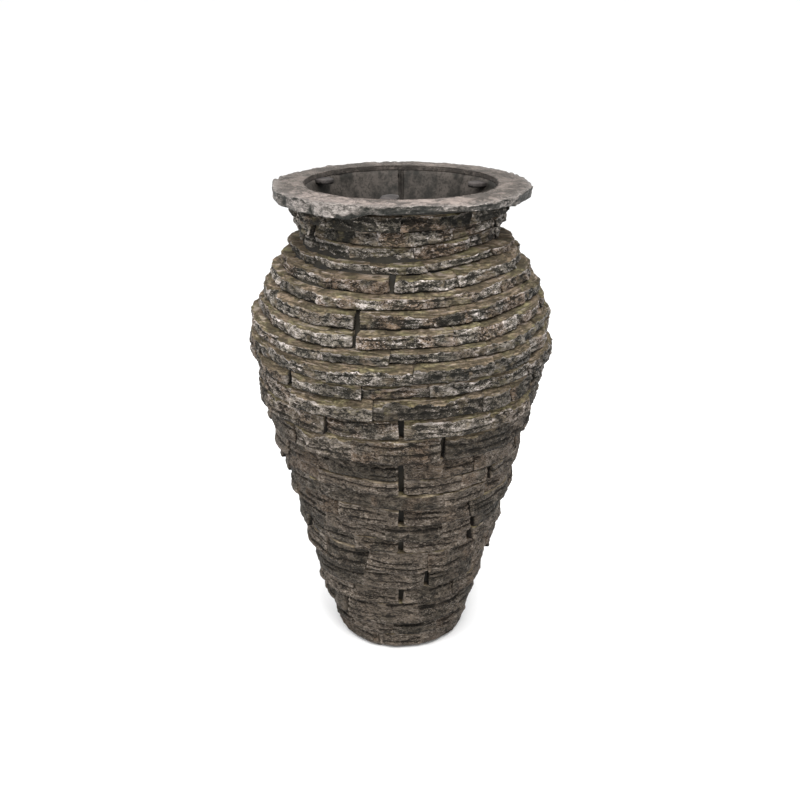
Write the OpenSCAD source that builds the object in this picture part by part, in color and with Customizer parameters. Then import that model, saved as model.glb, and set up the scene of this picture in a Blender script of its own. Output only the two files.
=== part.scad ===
// Garden amphora of dry-laid split slate: a broad rim slab, twenty-six courses of separate
// stones bedded round a cast liner in two halves, a floor slab with a drain, and three lugs
// under the rim that carry an insert.
// Origin at the centre of the foot, on the floor. +Z is up and -Y is the front.

/* [Overall size] */
// Height from the floor to the top face of the rim
urn_h = 813; // [760:1:1000]
// Radius of the widest course, at the belly
belly_r = 251; // [240:1:310]

/* [Rim] */
// Mean outside radius of the rim slab
rim_r = 207; // [200:1:225]
// Radius of the mouth
mouth_r = 155; // [150:1:157]
// Thickness of the rim slab
rim_t = 20; // [16:1:26]
// How far the broken outer edge of the rim wanders
rim_break = 3.5; // [0:0.5:6]

/* [Stones] */
// Usual length of a stone along the face
stone_len = 112; // [90:1:160]
// Narrowest open joint between two stones of a course
joint_min = 1; // [0.5:0.5:2]
// Widest ordinary joint between two stones of a course
joint_max = 2.5; // [2:0.5:5]
// Width of the joints that were left standing open
open_joint = 9; // [6:0.5:12]
// How far one stone stands proud of the next
stone_proud = 4.5; // [0:0.5:6]
// How far the broken face of one stone wanders
face_break = 2.5; // [0:0.5:4]
// Which laying of the stones
laying = 7; // [1:1:60]

/* [Liner and floor] */
// Wall thickness of the cast liner
liner_t = 10; // [8:0.5:12]
// Thickness of the floor slab
floor_t = 25; // [18:1:32]
// Radius of the drain hole
drain_r = 16; // [8:0.5:20]

/* [Lugs] */
// Width of a lug
lug_w = 27; // [20:1:34]
// Thickness of a lug
lug_t = 8; // [6:0.5:10]

/* [Hidden] */
// Thickness of each course in millimetres, from the foot up, at a height of 813
course_h = [
    38, 31, 44, 35, 39, 43, 28, 33, 34, 28, 28, 37, 44,
    37, 33, 25, 30, 21, 27, 28, 21, 24, 15, 23, 22, 25];
COURSES = len(course_h);

// Joints on the front of each course, in degrees round from -Y, positive towards +X
front_joints = [
    [-62, -20, 18, 60], [-84, -44, -6, 30, 72], [-80, -43, 13, 50], [-76, -34, 0, 39, 80],
    [-66, -24, 17, 55], [-88, -50, -20, 16, 62], [-66, -26, 0, 42, 82],
    [-88, -44, -8, 22, 42, 80], [-70, -32, 0, 36, 72], [-52, -14, 20, 45, 84],
    [-76, -41, 0, 28, 45, 76], [-60, -33, 0, 34, 66], [-80, -49, -20, 17, 52, 84],
    [-66, -30, 0, 36, 60, 88], [-76, -45, -10, 31, 45, 74], [-84, -45, -14, 10, 54],
    [-66, -26, 4, 34, 57, 88], [-80, -52, -29, -4, 32, 62], [-60, -17, 19, 50, 80],
    [-86, -44, -17, 26, 60], [-66, -36, 10, 46, 78], [-70, -32, -4, 25, 64, 90],
    [-50, -15, 12, 52, 82], [-78, -30, 7, 40, 72], [-56, -12, 28, 62], [-84, -40, 0, 38, 78]];

// Joints left standing open: course number from the foot, bearing in degrees
open_joints = [
    [3, -43], [4, 0], [5, 17], [7, 0], [7, 42], [8, 42], [9, 0], [10, 45], [11, 0], [11, 45],
    [12, 0], [13, 17], [14, 0], [15, -45], [15, 45], [16, -45], [17, 57], [18, 62], [19, -17],
    [20, -17], [22, -70], [22, -4]];

// Outside face of the stones: share of the height, share of the belly radius
body_outline = [
    [0, 0.458], [0.04, 0.462], [0.074, 0.50], [0.123, 0.558], [0.246, 0.653], [0.394, 0.78],
    [0.53, 0.88], [0.59, 0.943], [0.64, 0.976], [0.69, 1], [0.738, 0.976], [0.787, 0.914],
    [0.824, 0.868], [0.861, 0.78], [0.88, 0.72], [0.905, 0.64], [0.92, 0.645], [0.94, 0.69],
    [0.965, 0.72], [1, 0.72]];

// Outside face of the liner, in the same shares
liner_outline = [
    [0, 0.315], [0.074, 0.335], [0.123, 0.38], [0.246, 0.49], [0.394, 0.62], [0.53, 0.72],
    [0.64, 0.81], [0.69, 0.835], [0.738, 0.81], [0.787, 0.745], [0.824, 0.69], [0.861, 0.60],
    [0.885, 0.56], [0.905, 0.565], [0.925, 0.575], [0.945, 0.598]];

liner_gap = 1;
half_gap = 0.3;
arc_step = 11;
rim_points = 44;
round_fn = 96;
lug_fn = 48;
rebate_h = rim_t / 2;
rim_z = urn_h - rim_t;
lip_r = mouth_r + liner_t;
lip_top = rim_z + rebate_h - half_gap;
lip_foot = rim_z - 0.012 * urn_h;

slate_tones = [
    [0.42, 0.38, 0.33], [0.36, 0.34, 0.29], [0.45, 0.42, 0.36], [0.39, 0.35, 0.32],
    [0.33, 0.33, 0.27], [0.44, 0.39, 0.36]];
rim_tone = [0.62, 0.53, 0.48];
liner_tone = [0.40, 0.37, 0.34];
lug_tone = [0.55, 0.52, 0.50];
floor_tone = [0.36, 0.34, 0.32];

COURSE_NAMES = [for (i = [1 : COURSES]) str("course_", i < 10 ? "0" : "", i)];

// Total of a list's first n values
function total(list, n) = n < 1 ? 0 : list[n - 1] + total(list, n - 1);

// The stones fill the height under the rim slab, whatever that height is
laid_h = total(course_h, COURSES);
course_scale = rim_z / laid_h;
function bed_z(i) = total(course_h, i) * course_scale;
function face_r(z) = lookup(z / urn_h, body_outline) * belly_r;
function liner_r(z) = z > lip_foot ? lip_r : lookup(z / urn_h, liner_outline) * belly_r;
function course_face(i) = face_r((bed_z(i) + bed_z(i + 1)) / 2);
function course_back(i) = liner_gap + max([for (k = [0 : 4])
    liner_r(bed_z(i) + (bed_z(i + 1) - bed_z(i)) * k / 4)]);

// All joints of course i, the front ones as laid and the rest spaced round the back
function back_joints(i, first, last) = let(
        arc = first + 360 - last,
        n = max(2, round(arc * PI / 180 * course_face(i) / stone_len)),
        shift = rands(-0.22, 0.22, n, laying * 100 + i))
    [for (k = [1 : n - 1]) last + arc * (k + shift[k]) / n];
function course_joints(i) = let(front = front_joints[i])
    concat(front, back_joints(i, front[0], front[len(front) - 1]));

function is_open(i, a) = len([for (j = open_joints) if (j[0] == i + 1 && j[1] == a) j]) > 0;

function on_circle(r, a) = [r * sin(a), -r * cos(a)];

// One stone in plan: a broken outer face from bearing a0 to a1 and a dressed back
module stone_plan(back, face, a0, a1, seed) {
    steps = max(2, ceil((a1 - a0) / arc_step));
    step = (a1 - a0) / steps;
    wander = rands(-face_break, face_break, steps + 1, seed);
    back_r = back / cos(step / 2);
    outer = [for (k = [0 : steps]) on_circle(face + wander[k], a0 + k * step)];
    inner = [for (k = [steps : -1 : 0]) on_circle(back_r, a0 + k * step)];
    polygon(concat(outer, inner));
}

// One ring of separate stones
module course(i) {
    joints = course_joints(i);
    n = len(joints);
    seed = laying * 1000 + i * 10;
    proud = rands(-stone_proud, stone_proud, n, seed);
    usual = rands(joint_min, joint_max, n, seed + 1);
    widths = [for (k = [0 : n - 1]) is_open(i, joints[k]) ? open_joint : usual[k]];
    face = course_face(i);
    for (k = [0 : n - 1]) {
        next = k == n - 1 ? joints[0] + 360 : joints[k + 1];
        start_gap = widths[k] / 2 / face * 180 / PI;
        end_gap = widths[(k + 1) % n] / 2 / face * 180 / PI;
        color(slate_tones[(i * 5 + k * 7) % len(slate_tones)])
            translate([0, 0, bed_z(i)])
                linear_extrude(bed_z(i + 1) - bed_z(i))
                    stone_plan(course_back(i), face + proud[k], joints[k] + start_gap,
                        next - end_gap, seed + 2 + k);
    }
}

// The rim: one thick slab with a broken outer edge, rebated to sit over the liner's lip
module rim_slab() {
    wander = rands(-rim_break, rim_break, rim_points, laying);
    color(rim_tone)
        translate([0, 0, rim_z])
            difference() {
                linear_extrude(rim_t)
                    polygon([for (k = [0 : rim_points - 1])
                        on_circle(rim_r + wander[k], k * 360 / rim_points)]);
                translate([0, 0, -1])
                    cylinder(h = rim_t + 2, r = mouth_r, $fn = round_fn);
                translate([0, 0, -1])
                    cylinder(h = rebate_h + 1, r = lip_r + half_gap, $fn = round_fn);
            }
}

// Heights at which the liner's wall changes slope, from the top of the floor slab to its lip
liner_z = concat([floor_t + half_gap],
    [for (p = liner_outline) if (p[0] * urn_h > floor_t + liner_t) p[0] * urn_h],
    [lip_foot, lip_top]);
function liner_section_r(z, inset) = z >= lip_foot
    ? lip_r - inset
    : lookup(z / urn_h, liner_outline) * belly_r - inset;

// The whole cast liner, a thin shell that follows the body. Its inside opens straight from the
// neck to the mouth, so the wall is thicker behind the step under its lip.
module liner() {
    last = len(liner_z) - 1;
    outer = [for (z = liner_z) [liner_section_r(z, 0), z]];
    inner = [for (k = [last : -1 : 0]) if (liner_z[k] != lip_foot)
        [liner_section_r(liner_z[k], liner_t), liner_z[k]]];
    rotate_extrude($fn = round_fn)
        polygon(concat(outer, inner));
}

// Half of the liner: side is -1 for the left and 1 for the right
module liner_half(side) {
    color(liner_tone)
        intersection() {
            liner();
            translate([side * (belly_r + half_gap / 2), 0, urn_h / 2])
                cube([2 * belly_r, 3 * belly_r, 2 * urn_h], center = true);
        }
}

module liner_left() {
    liner_half(-1);
}

module liner_right() {
    liner_half(1);
}

// Round floor slab that the liner stands on, with the drain through its middle
module floor_slab() {
    slab_r = liner_outline[0][1] * belly_r;
    color(floor_tone)
        difference() {
            cylinder(h = floor_t, r = slab_r, $fn = round_fn);
            translate([0, 0, -1])
                cylinder(h = floor_t + 2, r = drain_r, $fn = round_fn);
        }
}

// A lug: a flat tongue with a round end that reaches in from the wall of the mouth
module lug(bearing, tip_r, top_below_rim) {
    end_r = lug_w / 2;
    color(lug_tone)
        translate([0, 0, urn_h - top_below_rim - lug_t])
            intersection() {
                rotate([0, 0, bearing - 90])
                    linear_extrude(lug_t) {
                        translate([tip_r + end_r, 0])
                            circle(end_r, $fn = lug_fn);
                        translate([tip_r + end_r, -end_r])
                            square([mouth_r, lug_w]);
                    }
                cylinder(h = lug_t, r = mouth_r - half_gap, $fn = round_fn);
            }
}

module lug_left() {
    lug(-118, 128, 9);
}

module lug_right() {
    lug(117, 126, 14);
}

module lug_front() {
    lug(-8, 100, 4);
}

for (i = [0 : COURSES - 1])
    course(i);
rim_slab();
liner_left();
liner_right();
floor_slab();
lug_left();
lug_right();
lug_front();
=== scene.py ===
import math

import bmesh
import bpy
import numpy as np
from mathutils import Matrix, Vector
from mathutils.geometry import tessellate_polygon


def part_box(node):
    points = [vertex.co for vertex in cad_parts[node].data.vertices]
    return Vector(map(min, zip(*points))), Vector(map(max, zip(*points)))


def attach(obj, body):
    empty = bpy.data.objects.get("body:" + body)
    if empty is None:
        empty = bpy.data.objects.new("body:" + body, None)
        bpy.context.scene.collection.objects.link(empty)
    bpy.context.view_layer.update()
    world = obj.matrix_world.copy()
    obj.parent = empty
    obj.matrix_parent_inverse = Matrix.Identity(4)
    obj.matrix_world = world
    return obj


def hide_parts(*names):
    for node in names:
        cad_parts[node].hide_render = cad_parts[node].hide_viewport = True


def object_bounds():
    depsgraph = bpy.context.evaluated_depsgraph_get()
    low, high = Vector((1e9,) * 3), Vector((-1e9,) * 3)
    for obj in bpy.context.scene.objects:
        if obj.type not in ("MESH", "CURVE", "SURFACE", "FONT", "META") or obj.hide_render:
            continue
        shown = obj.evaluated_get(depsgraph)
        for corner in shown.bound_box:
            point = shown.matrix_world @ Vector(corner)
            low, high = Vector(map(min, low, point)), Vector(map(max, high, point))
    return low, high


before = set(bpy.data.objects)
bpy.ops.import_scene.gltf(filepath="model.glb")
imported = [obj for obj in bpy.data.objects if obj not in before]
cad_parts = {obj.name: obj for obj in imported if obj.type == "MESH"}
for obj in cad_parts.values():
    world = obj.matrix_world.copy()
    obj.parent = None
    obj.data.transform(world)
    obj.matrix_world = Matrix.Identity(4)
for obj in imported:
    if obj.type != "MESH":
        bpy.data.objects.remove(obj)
cad_low, cad_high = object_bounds()

# A garden amphora of dry-laid split slate. Every stone of every course is rebuilt round its CAD
# stone with a split face, chipped arrises and dressed beds. All lengths are in metres.

TAU = 2 * math.pi
MM = 0.001
GRAIN_STEP = 0.0018      # spacing of the mesh along a stone's face
RISE_STEP = 0.0016       # and up it
BED_GAP = 0.0006         # half the open line between two courses
BACK_GAP = 0.0008        # how far a stone's back stays clear of the back of its CAD stone
OPEN_JOINT = 0.005       # a gap wider than this between two stones was left open
HAIR_JOINT = 0.0004      # half the width of a closed joint
JOINT_REACH = 0.007      # how far into a stone the slant of its end joint is felt
# ARRIS_REACH also sets how far up the face the line of painted shade along its foot reaches
JOINT_WANDER = 0.0007    # how far a joint strays from a straight line
ARRIS_REACH = 0.0012     # how far up the face its bottom arris is worn
LEAST_DEPTH = 0.002      # a stone's face is nowhere nearer to its back than this
INSIDE_BED = 0.0002      # how far every point stays inside the beds of the CAD stone
COURSES = sorted(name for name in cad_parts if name.startswith("course_"))
LOWER_COURSES = COURSES[:13]       # the lowest thirteen courses
# painted shade for the course under the rim's overhang: its hollow mark is raised by this much
NECK_PAINTED_SHADE = 0.20          # how much darker the course in the rim's shade is
FOOT_UNEVEN = 0.25       # the share of its unevenness in plan that the foot course keeps
URN_TOP = cad_high.z
RIM_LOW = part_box("rim_slab")[0].z  # the rim's underside
FOOT_CHAMFER = 0.013     # how far the bottom arris of the foot is knocked off, and how high up
MORTAR_IN = 0.016        # how far the bedding mortar lies behind the faces
MORTAR_WALL = 0.008      # and how thick it is
# places where a piece has dropped out: degrees round, height, half width, half height, depth
DROPPED_OUT = [(-33, 0.763, 0.013, 0.020, 0.022), (54, 0.774, 0.012, 0.010, 0.018),
               (63, 0.520, 0.008, 0.010, 0.013), (-64, 0.665, 0.008, 0.012, 0.012)]


# ---------------------------------------------------------------- steady noise, in numpy

def hashed(cells, seed):
    """A steady number from 0 to 1 for each row of whole numbers."""
    mixed = np.full(cells.shape[:-1], (seed * 2654435761 + 97) & 0xFFFFFFFF, np.uint32)
    for k, prime in zip(range(cells.shape[-1]), (374761393, 668265263, 2246822519)):
        mixed = (mixed ^ (cells[..., k].astype(np.int64) & 0xFFFFFFFF).astype(np.uint32))
        mixed = mixed * np.uint32(prime)
        mixed ^= mixed >> np.uint32(15)
    mixed = mixed * np.uint32(2654435761)
    mixed ^= mixed >> np.uint32(13)
    return mixed.astype(np.float64) / 4294967295.0


def smooth_noise(points, seed):
    """Soft noise from -1 to 1 at points whose unit is one cell; any number of axes."""
    base = np.floor(points)
    part = points - base
    part = part * part * (3 - 2 * part)
    base = base.astype(np.int64)
    axes = points.shape[-1]
    total = np.zeros(points.shape[:-1])
    for corner in range(1 << axes):
        offset = np.array([(corner >> k) & 1 for k in range(axes)])
        share = np.prod(np.where(offset == 1, part, 1 - part), axis=-1)
        total += share * hashed(base + offset, seed)
    return total * 2 - 1


def layered_noise(points, seed, layers=3):
    """Soft noise in several sizes, each half the last."""
    total, weight = 0.0, 1.0
    for k in range(layers):
        total = total + weight * smooth_noise(points * 2 ** k, seed + 31 * k)
        weight *= 0.5
    return total / (2 - 2 ** (1 - layers))


def scallops(points, seed):
    """Shallow bowls side by side, 0 in a bowl's middle and up to 1 on the ridges between."""
    base = np.floor(points).astype(np.int64)
    nearest = np.full(points.shape[:-1], 9.0)
    for dx in (-1, 0, 1):
        for dy in (-1, 0, 1):
            cell = base + np.array([dx, dy])
            middle_x = cell[..., 0] + 0.15 + 0.7 * hashed(cell, seed)
            middle_y = cell[..., 1] + 0.15 + 0.7 * hashed(cell, seed + 5)
            off = (points[..., 0] - middle_x) ** 2 + (points[..., 1] - middle_y) ** 2
            nearest = np.minimum(nearest, off)
    return np.clip(nearest, 0, 1)


def facets(points, seed):
    """Flat tilted facets from -1 to 1, as a struck stone shows."""
    bent = points + 0.45 * np.stack([smooth_noise(points * 0.7, seed + 3),
                                     smooth_noise(points * 0.7 + 40, seed + 4)], axis=-1)
    skew = bent + (bent[..., :1] + bent[..., 1:]) * 0.366
    base = np.floor(skew).astype(np.int64)
    part = skew - base
    first = hashed(base, seed)
    last = hashed(base + 1, seed)
    east = hashed(base + np.array([1, 0]), seed)
    north = hashed(base + np.array([0, 1]), seed)
    along, up = part[..., 0], part[..., 1]
    low = first + (east - first) * along + (last - east) * up
    high = first + (north - first) * up + (last - north) * along
    return np.where(along > up, low, high) * 2 - 1


def soft_step(value, low, high):
    """0 up to the low value, 1 from the high one, and a smooth way between them."""
    t = np.clip((value - low) / (high - low), 0, 1)
    return t * t * (3 - 2 * t)


# ---------------------------------------------------------------- meshes

def build_mesh(name, points, quads, triangles, marks):
    """A mesh object from arrays. marks is a table of four numbers a point, kept as 'lay'."""
    mesh = bpy.data.meshes.new(name)
    mesh.vertices.add(len(points))
    mesh.vertices.foreach_set("co", points.astype(np.float32).ravel())
    corners = np.concatenate([quads.ravel(), triangles.ravel()]).astype(np.int32)
    sizes = np.concatenate([np.full(len(quads), 4), np.full(len(triangles), 3)])
    starts = np.concatenate([[0], np.cumsum(sizes)[:-1]]).astype(np.int32)
    mesh.loops.add(len(corners))
    mesh.loops.foreach_set("vertex_index", corners)
    mesh.polygons.add(len(sizes))
    mesh.polygons.foreach_set("loop_start", starts)
    mesh.update(calc_edges=True)
    mesh.validate()
    lay = mesh.attributes.new("lay", "FLOAT_COLOR", "POINT")
    lay.data.foreach_set("color", marks.astype(np.float32).ravel())
    mesh.shade_smooth()
    piece = bpy.data.objects.new(name, mesh)
    bpy.context.scene.collection.objects.link(piece)
    return piece


def face_outwards(piece):
    """Joins points that lie together, and turns every face of a closed piece to look outwards."""
    work = bmesh.new()
    work.from_mesh(piece.data)
    bmesh.ops.remove_doubles(work, verts=work.verts, dist=1e-6)
    bmesh.ops.recalc_face_normals(work, faces=work.faces)
    work.to_mesh(piece.data)
    work.free()


def swept_quads(columns, rows, closed_columns):
    """Quads between neighbouring columns of a section whose rows close on themselves."""
    spans = columns if closed_columns else columns - 1
    col = np.arange(spans)[:, None]
    row = np.arange(rows)[None, :]
    next_col = (col + 1) % columns
    next_row = (row + 1) % rows
    quad = np.stack([col * rows + row, next_col * rows + row,
                     next_col * rows + next_row, col * rows + next_row], axis=-1)
    return quad.reshape(-1, 4)


def end_caps(columns, rows):
    """Fans that close the two ends; their middle points come after the section's points."""
    row = np.arange(rows)
    next_row = (row + 1) % rows
    first_middle = columns * rows
    last = (columns - 1) * rows
    start = np.stack([np.full(rows, first_middle), row, next_row], axis=-1)
    end = np.stack([np.full(rows, first_middle + 1), last + next_row, last + row], axis=-1)
    return np.concatenate([start, end])


def with_ends(points, rows):
    """A swept section's points, and after them the middles of its two ends."""
    return np.concatenate([points, [points[:rows].mean(axis=0), points[-rows:].mean(axis=0)]])


def on_ring(radius, bearing, height):
    """Points from their radius, bearing and height; the bearing is from the front, towards +X."""
    return np.stack([radius * np.sin(bearing), -radius * np.cos(bearing), height], axis=-1)


def bed_warp(bearing, height):
    """How far a bed rises or dips at a bearing: no hand-laid course is quite level."""
    free = soft_step(height, 0.03, 0.14) * (1 - soft_step(height, RIM_LOW - 0.05, RIM_LOW - 0.004))
    wave = (np.sin(2 * bearing + 1.1 + 6 * height) + 0.6 * np.sin(3 * bearing - 0.7 - 9 * height)
            + 0.45 * np.sin(5 * bearing + 14 * height))
    return free * (0.0026 * wave + 0.004 * np.sin(bearing))


# ---------------------------------------------------------------- reading the CAD stones

def islands(node):
    """The separate solids of a CAD node, each as a table of its corners."""
    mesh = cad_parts[node].data
    co = np.zeros(len(mesh.vertices) * 3)
    mesh.vertices.foreach_get("co", co)
    co = co.reshape(-1, 3)
    keys, first, same = np.unique(np.round(co * 1e5).astype(np.int64), axis=0,
                                  return_index=True, return_inverse=True)
    same = same.ravel()
    mesh.calc_loop_triangles()
    tri = np.zeros(len(mesh.loop_triangles) * 3, np.int32)
    mesh.loop_triangles.foreach_get("vertices", tri)
    tri = same[tri.reshape(-1, 3)]
    label = np.arange(len(keys))
    while True:
        lowest = label[tri].min(axis=1)
        before = label.copy()
        for k in range(3):
            np.minimum.at(label, tri[:, k], lowest)
        label = label[label]
        if np.array_equal(label, before):
            break
    corners = co[first]
    return [corners[label == one] for one in np.unique(label)]


def bearing_of(points):
    """Angle round from the front, positive towards +X."""
    return np.arctan2(points[:, 0], -points[:, 1])


def stone_facts(corners):
    """Where a CAD stone lies: its bearings, beds, back radius and outer outline."""
    radius = np.hypot(corners[:, 0], corners[:, 1])
    middle = bearing_of(corners.mean(axis=0, keepdims=True))[0]
    turn = (bearing_of(corners) - middle + math.pi) % TAU - math.pi
    outer = radius > (radius.min() + radius.max()) / 2
    order = np.argsort(turn[outer])
    return {"start": middle + turn[outer].min(), "end": middle + turn[outer].max(),
            "low": corners[:, 2].min(), "high": corners[:, 2].max(), "back": radius.min(),
            "turns": middle + turn[outer][order], "radii": radius[outer][order]}


# ---------------------------------------------------------------- stones

def stone_style(height, draw):
    """How riven a stone is, and the share of its height and the depth of its worn ledge.

    Low down the stones are squared and flush, high up riven with a broad ledge.
    """
    riven = float(np.clip(soft_step(height, 0.36, 0.52) + draw.uniform(-0.22, 0.22), 0, 1))
    ledge = riven * (1 - 0.65 * float(soft_step(height, 0.70, 0.735)))
    ledge_share = 0.08 + ledge * draw.uniform(0.12, 0.36)
    ledge_in = 0.0030 + ledge * draw.uniform(0.001, 0.013)
    return riven, ledge_share, ledge_in


def stone_columns(length):
    """Distances along a stone's face, closer together near its two ends."""
    near = np.array([0.0, 0.0006, 0.0016, 0.0030])
    count = max(4, round((length - 2 * near[-1]) / GRAIN_STEP))
    middle = np.linspace(near[-1], length - near[-1], count)
    return np.concatenate([near[:-1], middle, length - near[-2::-1]])


def close_joints(stones, number):
    """Closes the ordinary joints of a course to a hair, and gives each joint its slant."""
    stones.sort(key=lambda one: one["start"])
    draw = np.random.default_rng(number + 500)
    for k, one in enumerate(stones):
        other = stones[(k + 1) % len(stones)]
        gap = (other["start"] - one["end"]) % TAU
        face = (one["radii"].mean() + other["radii"].mean()) / 2
        is_open = gap * face > OPEN_JOINT
        spare = 0.0 if is_open else gap / 2 - HAIR_JOINT / face
        most_drop = 0.0055 if is_open else 0.0020
        one["end"] += spare
        other["start"] -= spare
        one["end_slant"] = other["start_slant"] = draw.uniform(-0.0035, 0.0035) / face
        if is_open:
            one["end_slant"], other["start_slant"] = draw.uniform(-0.0019, 0.0019, 2) / face
        one["end_wander"] = other["start_wander"] = draw.uniform(0, 40)
        one["end_drop"] = draw.uniform(0.0003, most_drop)
        other["start_drop"] = draw.uniform(0.0003, most_drop)


def leaf_splits(mm_along, mm_up, thickness, seed, draw):
    """Long splits along a thick stone: the step across them, and how deep into one a point is."""
    step = np.zeros(mm_up.shape)
    groove = np.zeros(mm_up.shape)
    count = max(1, round(thickness / 0.0115) - 1)
    for k in range(count):
        level = thickness / MM * ((k + 1) / (count + 1) + draw.uniform(-0.12, 0.12))
        bent = level + 1.5 * smooth_noise(mm_along[..., None] / 34, seed + 90 + k)
        runs = soft_step(smooth_noise(mm_along[..., None] / 48, seed + 95 + k), -0.25, 0.15)
        off = mm_up - bent
        step = step + draw.uniform(-2.2, 1.3) * runs * soft_step(off, -0.6, 0.6)
        groove = np.maximum(groove, runs * np.exp(-(off / 1.1) ** 2))
    return step, groove


def split_face(along, up, thickness, seed, riven, draw):
    """How far a stone's face stands in or out, in metres, and how hollow it is."""
    mm_along, mm_up = along / MM, up / MM
    spread = np.stack([mm_along, mm_up], axis=-1)
    slant = np.stack([mm_along + 0.8 * mm_up, mm_up], axis=-1)
    big = scallops(slant / (17, 9) + seed * 0.37, seed)
    small = scallops(spread / (6.2, 4.0) + seed * 0.71, seed + 11)
    struck = facets(slant / (10, 6), seed + 21)
    fine = facets(spread / (4.6, 3.0), seed + 25)
    wander = smooth_noise(spread / (38, 60), seed + 31)
    step, groove = leaf_splits(mm_along, mm_up, thickness, seed, draw)
    knapped = scallops(slant / (33, 17) + seed * 0.53, seed + 17)
    rough = (2.6 * (big - 0.35) + 1.6 * (small - 0.35) + 1.5 * struck + 0.9 * fine
             + 3.0 * (knapped - 0.4))
    flush = 1.2 * (big - 0.35) + 0.9 * (small - 0.35) + 0.8 * struck + 0.6 * fine
    out = riven * rough + (1 - riven) * flush + (1.6 + 0.8 * riven) * wander + step * (1 - 0.4 * riven)
    out = out - (3.4 - 2.0 * riven) * groove
    hollow = 0.5 - (0.16 + 0.10 * riven) * (rough / 1.7) + 0.5 * groove
    return out * MM, np.clip(hollow, 0, 1)


def drop_out(bearing, face, height):
    """How deep and how surely a piece is gone at each point of a stone's face."""
    depth = np.zeros(height.shape)
    dropped = np.zeros(height.shape)
    for degrees, level, wide, tall, deep in DROPPED_OUT:
        ragged_wide = wide * (1 + 0.5 * smooth_noise(height[..., None] / 0.007, 77))
        round_off = (bearing - math.radians(degrees)) * face / ragged_wide
        gone = np.exp(-round_off ** 6) * np.exp(-((height - level) / tall) ** 6)
        depth = depth + deep * gone
        dropped = np.maximum(dropped, gone)
    return depth, dropped


def face_hollows(hollow, dropped, up, to_top, to_end, place, seed, riven):
    """A face's hollow mark, with a line of painted shade along its foot, a painted highlight along its top
    arris and near its ends, and painted shade where a piece has dropped out.
    """
    # a painted highlight where the top arris catches the light, and a line of painted shade under the foot
    top_painted_highlight = np.clip(0.36 - 0.24 * riven + 0.5 * smooth_noise(place[..., None] / 14, seed + 8),
                        0, 0.60 - 0.18 * riven)
    foot_painted_shade = 0.42 - 0.12 * riven + 0.35 * smooth_noise(place[..., None] / 26, seed + 10)
    lines = foot_painted_shade * np.exp(-up / ARRIS_REACH) - top_painted_highlight * np.exp(-to_top / 0.0015)
    # the ends are made paler by the same painted highlight, and dropped-out hollows get painted shade
    return np.clip(hollow + lines - 0.25 * np.exp(-to_end / 0.004) + 0.8 * dropped, 0, 1)


def worn_ledge(face_top, outline, edge, high, ledge_in, slopes, place, seed, draw):
    """The ledge above a face, riven into fine leaves: its radii and heights, and its bed's height."""
    fall = np.linspace(0, 1, slopes + 1)[None, 1:]
    leaf_place = np.stack(np.broadcast_arrays(place / 46, fall * ledge_in / MM / 2.1), axis=-1)
    leaves = 0.0007 * smooth_noise(leaf_place, seed + 4) * np.sin(math.pi * fall)
    ledge_r = face_top + (outline - 0.0012 - face_top) * fall - ledge_in * fall ** 1.2
    spot = np.concatenate([place / 24, np.full(place.shape, 0.5 + seed)], axis=-1)
    lost_leaf = draw.uniform(0.0, 0.0022) * soft_step(smooth_noise(spot * 1.4, seed + 6), 0.0, 0.25)
    bed_z = (high + 0.0005 * smooth_noise(spot, seed + 5) - lost_leaf)[:, None]
    return ledge_r, edge + (bed_z - edge) * fall ** 0.85 + leaves, bed_z


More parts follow.
